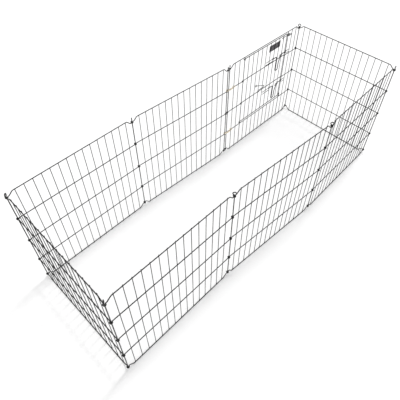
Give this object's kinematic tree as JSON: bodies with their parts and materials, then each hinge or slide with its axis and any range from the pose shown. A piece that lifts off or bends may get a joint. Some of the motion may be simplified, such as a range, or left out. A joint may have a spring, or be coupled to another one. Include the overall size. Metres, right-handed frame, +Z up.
{
  "type": "folding wire dog playpen",
  "caption": "Folding exercise pen of hinged black wire panels in a closed rectangle, with lift-out hinge rods, a swinging door with slide bolts, and snaps at its seam.",
  "frame": {"origin": "middle of the pen at floor level", "axes": "+X along the long side, from the left end to the right end, +Y from the front side to the back side with the door, +Z up"},
  "size_m": [1.8562, 0.6718, 0.6139],
  "materials": {
    "black_wire": "black baked coating, satin",
    "plate_black": "dark satin, bare",
    "snap_brass": "pale plated die-cast"
  },
  "bodies": {
    "front_middle": {"front_middle_rails": "black_wire", "front_middle_bars": "black_wire"},
    "front_right": {"front_right_rails": "black_wire", "front_right_bars": "black_wire"},
    "right_end": {"right_end_rails": "black_wire", "right_end_bars": "black_wire"},
    "front_left": {"front_left_rails": "black_wire", "front_left_bars": "black_wire"},
    "left_end": {"left_end_rails": "black_wire", "left_end_bars": "black_wire"},
    "back_left": {"back_left_rails": "black_wire", "back_left_bars": "black_wire"},
    "back_middle": {"back_middle_rails": "black_wire", "back_middle_bars": "black_wire"},
    "door_panel": {"door_panel_lower_rails": "black_wire", "door_panel_top_rail": "black_wire", "door_panel_seam_rails": "black_wire", "door_panel_corner_rails": "black_wire", "door_panel_seam_bars": "black_wire", "door_panel_corner_bars": "black_wire", "door_panel_sill_bars": "black_wire", "bolt_keepers": "black_wire", "door_stop": "black_wire", "upper_snap": "snap_brass", "lower_snap": "snap_brass"},
    "door": {"door_cross_wires": "black_wire", "door_bars": "black_wire", "door_edge": "black_wire", "door_plate": "plate_black", "ring_hook": "black_wire", "ring_pin_loops": "black_wire", "upper_bolt_guides": "black_wire", "lower_bolt_guides": "black_wire"},
    "upper_bolt": {"upper_bolt": "black_wire"},
    "lower_bolt": {"lower_bolt": "black_wire"},
    "ring_pin": {"ring_pin": "black_wire"},
    "front_left_corner_rod": {"front_left_corner_rod": "black_wire"},
    "front_left_rod": {"front_left_rod": "black_wire"},
    "front_right_rod": {"front_right_rod": "black_wire"},
    "front_right_corner_rod": {"front_right_corner_rod": "black_wire"},
    "back_right_corner_rod": {"back_right_corner_rod": "black_wire"},
    "seam_right_rod": {"seam_right_rod": "black_wire"},
    "seam_left_rod": {"seam_left_rod": "black_wire"},
    "back_left_rod": {"back_left_rod": "black_wire"},
    "back_left_corner_rod": {"back_left_corner_rod": "black_wire"},
    "upper_snap_right_plunger": {"upper_snap_right_plunger": "snap_brass"},
    "upper_snap_left_plunger": {"upper_snap_left_plunger": "snap_brass"},
    "lower_snap_right_plunger": {"lower_snap_right_plunger": "snap_brass"},
    "lower_snap_left_plunger": {"lower_snap_left_plunger": "snap_brass"}
  },
  "joints": [
    {"name": "front_right_hinge", "type": "hinge", "parent": "front_middle", "child": "front_right", "pos_m": [0.29652, -0.32774, 0], "axis": [0, 0, 1], "range_deg": [0, 160]},
    {"name": "front_right_corner_hinge", "type": "hinge", "parent": "front_right", "child": "right_end", "pos_m": [0.90603, -0.3171, 0], "axis": [0, 0, 1], "range_deg": [-252, 0]},
    {"name": "back_right_corner_hinge", "type": "hinge", "parent": "right_end", "child": "door_panel", "pos_m": [0.9213, 0.2923, 0], "axis": [0, 0, 1], "range_deg": [0, 74]},
    {"name": "front_left_hinge", "type": "hinge", "parent": "front_middle", "child": "front_left", "pos_m": [-0.31159, -0.28522, 0], "axis": [0, 0, 1], "range_deg": [0, 160]},
    {"name": "front_left_corner_hinge", "type": "hinge", "parent": "front_left", "child": "left_end", "pos_m": [-0.92119, -0.28522, 0], "axis": [0, 0, 1], "range_deg": [-75, 0]},
    {"name": "back_left_corner_hinge", "type": "hinge", "parent": "left_end", "child": "back_left", "pos_m": [-0.9196, 0.32438, 0], "axis": [0, 0, 1], "range_deg": [0, 254]},
    {"name": "back_left_hinge", "type": "hinge", "parent": "back_left", "child": "back_middle", "pos_m": [-0.31001, 0.3281, 0], "axis": [0, 0, 1], "range_deg": [-162, 0]},
    {"name": "door_hinge", "type": "hinge", "parent": "door_panel", "child": "door", "pos_m": [0.42599, 0.29071, 0], "axis": [0, 0, 1], "range_deg": [0, 115]},
    {"name": "upper_bolt_slide", "type": "slide", "parent": "door", "child": "upper_bolt", "axis": [-1, 0.0045, 0], "range_m": [0, 0.025]},
    {"name": "lower_bolt_slide", "type": "slide", "parent": "door", "child": "lower_bolt", "axis": [-1, 0.0045, 0], "range_m": [0, 0.025]},
    {"name": "ring_pin_slide", "type": "slide", "parent": "door_panel", "child": "ring_pin", "axis": [1, -0.0045, 0], "range_m": [0, 0.038]},
    {"name": "front_left_corner_rod_lift", "type": "slide", "parent": "front_left", "child": "front_left_corner_rod", "axis": [0, 0, 1], "range_m": [0, 0.6]},
    {"name": "front_left_rod_lift", "type": "slide", "parent": "front_middle", "child": "front_left_rod", "axis": [0, 0, 1], "range_m": [0, 0.6]},
    {"name": "front_right_rod_lift", "type": "slide", "parent": "front_middle", "child": "front_right_rod", "axis": [0, 0, 1], "range_m": [0, 0.6]},
    {"name": "front_right_corner_rod_lift", "type": "slide", "parent": "front_right", "child": "front_right_corner_rod", "axis": [0, 0, 1], "range_m": [0, 0.6]},
    {"name": "back_right_corner_rod_lift", "type": "slide", "parent": "right_end", "child": "back_right_corner_rod", "axis": [0, 0, 1], "range_m": [0, 0.6]},
    {"name": "seam_right_rod_lift", "type": "slide", "parent": "door_panel", "child": "seam_right_rod", "axis": [0, 0, 1], "range_m": [0, 0.6]},
    {"name": "seam_left_rod_lift", "type": "slide", "parent": "back_middle", "child": "seam_left_rod", "axis": [0, 0, 1], "range_m": [0, 0.6]},
    {"name": "back_left_rod_lift", "type": "slide", "parent": "back_left", "child": "back_left_rod", "axis": [0, 0, 1], "range_m": [0, 0.6]},
    {"name": "back_left_corner_rod_lift", "type": "slide", "parent": "left_end", "child": "back_left_corner_rod", "axis": [0, 0, 1], "range_m": [0, 0.6]},
    {"name": "upper_snap_right_plunger_slide", "type": "slide", "parent": "door_panel", "child": "upper_snap_right_plunger", "axis": [-1, 0.0045, 0], "range_m": [0, 0.0075]},
    {"name": "upper_snap_left_plunger_slide", "type": "slide", "parent": "door_panel", "child": "upper_snap_left_plunger", "axis": [1, -0.0045, 0], "range_m": [0, 0.0075]},
    {"name": "lower_snap_right_plunger_slide", "type": "slide", "parent": "door_panel", "child": "lower_snap_right_plunger", "axis": [-1, 0.0045, 0], "range_m": [0, 0.0075]},
    {"name": "lower_snap_left_plunger_slide", "type": "slide", "parent": "door_panel", "child": "lower_snap_left_plunger", "axis": [1, -0.0045, 0], "range_m": [0, 0.0075]}
  ],
  "couplings": [
    {"joint": "front_right_corner_hinge", "follows": "front_right_hinge", "ratio": -1.575},
    {"joint": "back_right_corner_hinge", "follows": "front_right_hinge", "ratio": 0.4625},
    {"joint": "front_left_hinge", "follows": "front_right_hinge", "ratio": 1},
    {"joint": "front_left_corner_hinge", "follows": "front_right_hinge", "ratio": -0.46875},
    {"joint": "back_left_corner_hinge", "follows": "front_right_hinge", "ratio": 1.5875},
    {"joint": "back_left_hinge", "follows": "front_right_hinge", "ratio": -1.0125}
  ]
}
